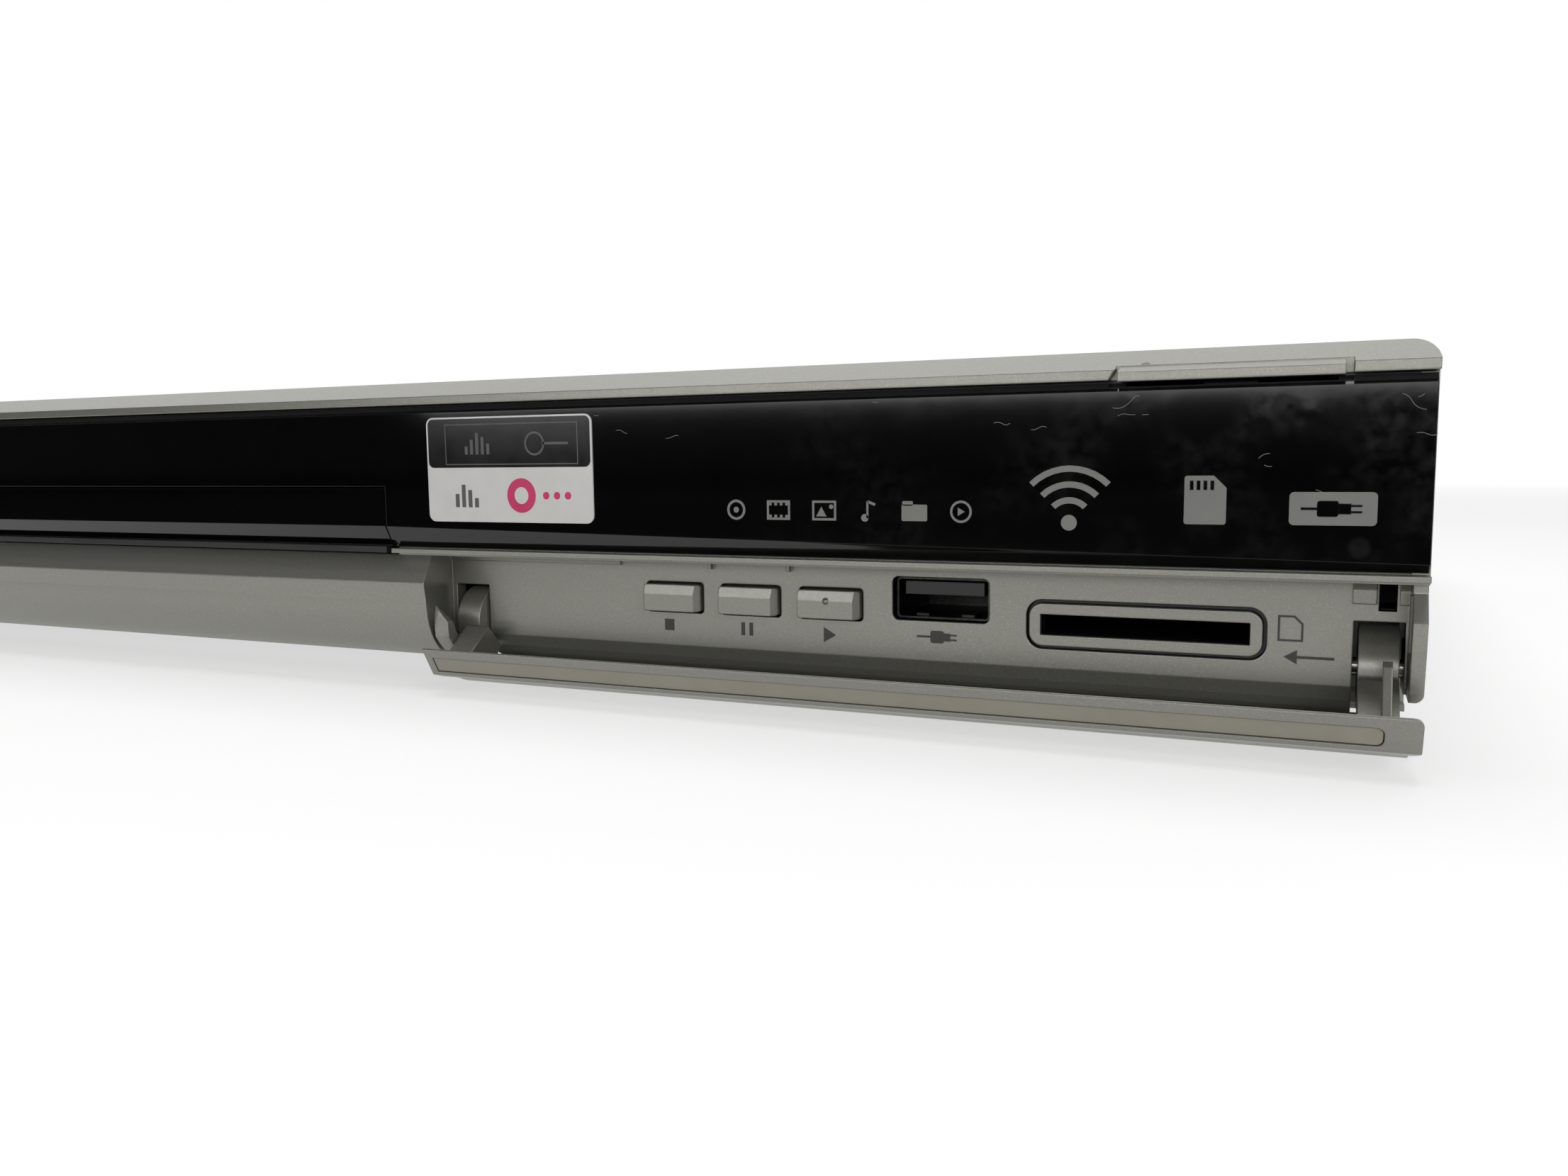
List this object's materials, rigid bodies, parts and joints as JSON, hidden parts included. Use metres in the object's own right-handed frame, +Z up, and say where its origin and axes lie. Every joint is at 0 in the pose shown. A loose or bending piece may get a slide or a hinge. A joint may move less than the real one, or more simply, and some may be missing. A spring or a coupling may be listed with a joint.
{
  "type": "disc player",
  "caption": "Slim disc player with a glossy front window, a loading tray, and a flip-down door over its buttons, USB port and card slot.",
  "frame": {"origin": "centre of the footprint, on the table under the feet", "axes": "+X to the viewer's right along the front, +Y from the front to the back, +Z up"},
  "size_m": [0.43, 0.25, 0.049],
  "materials": {
    "cover_steel": "fine textured paint",
    "chassis_steel": "zinc-coated sheet",
    "foot_rubber": "moulded",
    "screw_steel": "zinc-coated",
    "front_plastic": "metallic grey lacquer with a fine speckle",
    "window_plastic": "polished",
    "label_film": "printed film",
    "inset_film": "satin film",
    "button_plastic": "metallic grey lacquer",
    "spring_steel": "bright",
    "switch_plastic": "moulded",
    "circuit_board": "solder mask",
    "paper_board": "paper laminate",
    "display_glass": "polished",
    "socket_steel": "nickel-plated",
    "socket_plastic": "moulded",
    "chip_plastic": "moulded",
    "sink_aluminium": "extruded",
    "can_aluminium": "sleeved",
    "supply_plastic": "moulded",
    "cable_film": "flat film",
    "cable_plastic": "moulded",
    "fan_plastic": "moulded",
    "drive_plastic": "moulded",
    "bridge_steel": "zinc-coated sheet",
    "clamper_plastic": "moulded",
    "tray_plastic": "moulded",
    "gear_plastic": "acetal",
    "motor_steel": "plated can",
    "belt_rubber": "moulded",
    "traverse_steel": "zinc-coated sheet",
    "pickup_alloy": "cast",
    "lens_glass": "coated",
    "rod_steel": "ground"
  },
  "bodies": {
    "case": {"top_cover": "cover_steel", "chassis": "chassis_steel", "rear_panel": "chassis_steel", "feet": "foot_rubber", "screws": "screw_steel", "front_bezel": "front_plastic", "front_window": "window_plastic", "feature_label": "label_film", "door_hinge_pins": "spring_steel", "latch_clip": "spring_steel", "tact_switches": "switch_plastic", "upright_boards": "paper_board", "display_module": "display_glass", "front_board": "paper_board", "usb_port": "socket_steel", "usb_tongue": "socket_plastic", "sd_card_socket": "socket_steel", "main_board": "circuit_board", "board_chips": "chip_plastic", "heatsink": "sink_aluminium", "capacitors": "can_aluminium", "power_board": "paper_board", "power_parts": "supply_plastic", "transformer": "supply_plastic", "ac_inlet": "socket_plastic", "hdmi_port": "socket_steel", "lan_port": "socket_steel", "optical_port": "socket_plastic", "phono_jacks": "socket_plastic", "fan_frame": "fan_plastic", "flat_cables": "cable_film", "cable_sockets": "cable_plastic", "drive_frame": "drive_plastic", "drive_board": "circuit_board", "clamp_bridge": "bridge_steel", "loader_motor": "motor_steel", "drive_belt": "belt_rubber"},
    "front_door": {"front_door": "front_plastic", "door_inset": "inset_film"},
    "tray": {"disc_tray": "tray_plastic", "tray_flap": "window_plastic"},
    "loading_gear": {"drive_gear": "gear_plastic"},
    "loading_pulley": {"pulley_gear": "gear_plastic"},
    "loading_motor_pulley": {"motor_pulley": "gear_plastic"},
    "cam": {"cam_slider": "gear_plastic"},
    "traverse": {"traverse": "traverse_steel", "spindle_motor": "motor_steel", "guide_rods": "rod_steel", "sled_motor": "motor_steel"},
    "disc_table": {"turntable": "drive_plastic"},
    "disc_clamper": {"clamper": "clamper_plastic"},
    "sled": {"pickup": "pickup_alloy"},
    "lens": {"objective_lens": "lens_glass"},
    "sled_screw": {"lead_screw": "rod_steel"},
    "fan": {"fan_rotor": "fan_plastic"},
    "open_close_key": {"open_close_button": "button_plastic"},
    "power_key": {"power_button": "button_plastic"},
    "stop_key": {"stop_button": "button_plastic"},
    "pause_key": {"pause_button": "button_plastic"},
    "play_key": {"play_button": "button_plastic"}
  },
  "joints": [
    {"name": "door_hinge", "type": "hinge", "parent": "case", "child": "front_door", "pos_m": [0.145, -0.11153, 0.011], "axis": [-1, 0, 0], "range_deg": [0, 64]},
    {"name": "tray_slide", "type": "slide", "parent": "case", "child": "tray", "axis": [0, -1, 0], "range_m": [0, 0.135]},
    {"name": "loading_gear_spin", "type": "hinge", "parent": "case", "child": "loading_gear", "pos_m": [-0.041, -0.09623, 0.023], "axis": [0, 0, 1], "range_deg": [0, 645]},
    {"name": "loading_pulley_spin", "type": "hinge", "parent": "case", "child": "loading_pulley", "pos_m": [-0.023, -0.09623, 0.018], "axis": [0, 0, 1], "range_deg": [-1290, 0]},
    {"name": "loading_motor_spin", "type": "hinge", "parent": "case", "child": "loading_motor_pulley", "pos_m": [0.008, -0.09623, 0.018], "axis": [0, 0, 1], "range_deg": [-4643, 0]},
    {"name": "traverse_lift", "type": "hinge", "parent": "case", "child": "traverse", "pos_m": [0, 0.03677, 0.0206], "axis": [1, 0, 0], "range_deg": [0, 3.5]},
    {"name": "cam_slide", "type": "slide", "parent": "case", "child": "cam", "axis": [1, 0, 0], "range_m": [0, 0.0241]},
    {"name": "disc_spin", "type": "hinge", "parent": "traverse", "child": "disc_table", "pos_m": [0, -0.04523, 0.0295], "axis": [0, 0, 1], "continuous": true},
    {"name": "clamper_spin", "type": "hinge", "parent": "case", "child": "disc_clamper", "pos_m": [0, -0.04523, 0.034], "axis": [0, 0, 1], "continuous": true},
    {"name": "sled_slide", "type": "slide", "parent": "traverse", "child": "sled", "axis": [0, 1, 0], "range_m": [0, 0.034]},
    {"name": "sled_screw_spin", "type": "hinge", "parent": "traverse", "child": "sled_screw", "pos_m": [-0.031, -0.00323, 0.0147], "axis": [0, 1, 0], "range_deg": [0, 4081]},
    {"name": "lens_focus", "type": "slide", "parent": "sled", "child": "lens", "axis": [0, 0, 1], "range_m": [-0.0004, 0.0004], "stiffness_N_per_m": 60},
    {"name": "fan_spin", "type": "hinge", "parent": "case", "child": "fan", "pos_m": [-0.03, 0.11277, 0.0253], "axis": [0, 1, 0], "continuous": true},
    {"name": "open_close_press", "type": "slide", "parent": "case", "child": "open_close_key", "axis": [0, 0, -1], "range_m": [0, 0.0003], "stiffness_N_per_m": 400},
    {"name": "power_press", "type": "slide", "parent": "case", "child": "power_key", "axis": [0, 0, -1], "range_m": [0, 0.0003], "stiffness_N_per_m": 400},
    {"name": "stop_press", "type": "slide", "parent": "case", "child": "stop_key", "axis": [0, 1, 0], "range_m": [0, 0.0006], "stiffness_N_per_m": 300},
    {"name": "pause_press", "type": "slide", "parent": "case", "child": "pause_key", "axis": [0, 1, 0], "range_m": [0, 0.0006], "stiffness_N_per_m": 300},
    {"name": "play_press", "type": "slide", "parent": "case", "child": "play_key", "axis": [0, 1, 0], "range_m": [0, 0.0006], "stiffness_N_per_m": 300}
  ],
  "couplings": [
    {"joint": "loading_gear_spin", "follows": "tray_slide", "rad_per_m": 83.333},
    {"joint": "loading_pulley_spin", "follows": "tray_slide", "rad_per_m": -166.67},
    {"joint": "loading_motor_spin", "follows": "tray_slide", "rad_per_m": -600},
    {"joint": "cam_slide", "follows": "traverse_lift", "m_per_rad": 0.39288},
    {"joint": "clamper_spin", "follows": "disc_spin", "ratio": 1},
    {"joint": "sled_screw_spin", "follows": "sled_slide", "rad_per_m": 2094.4}
  ]
}
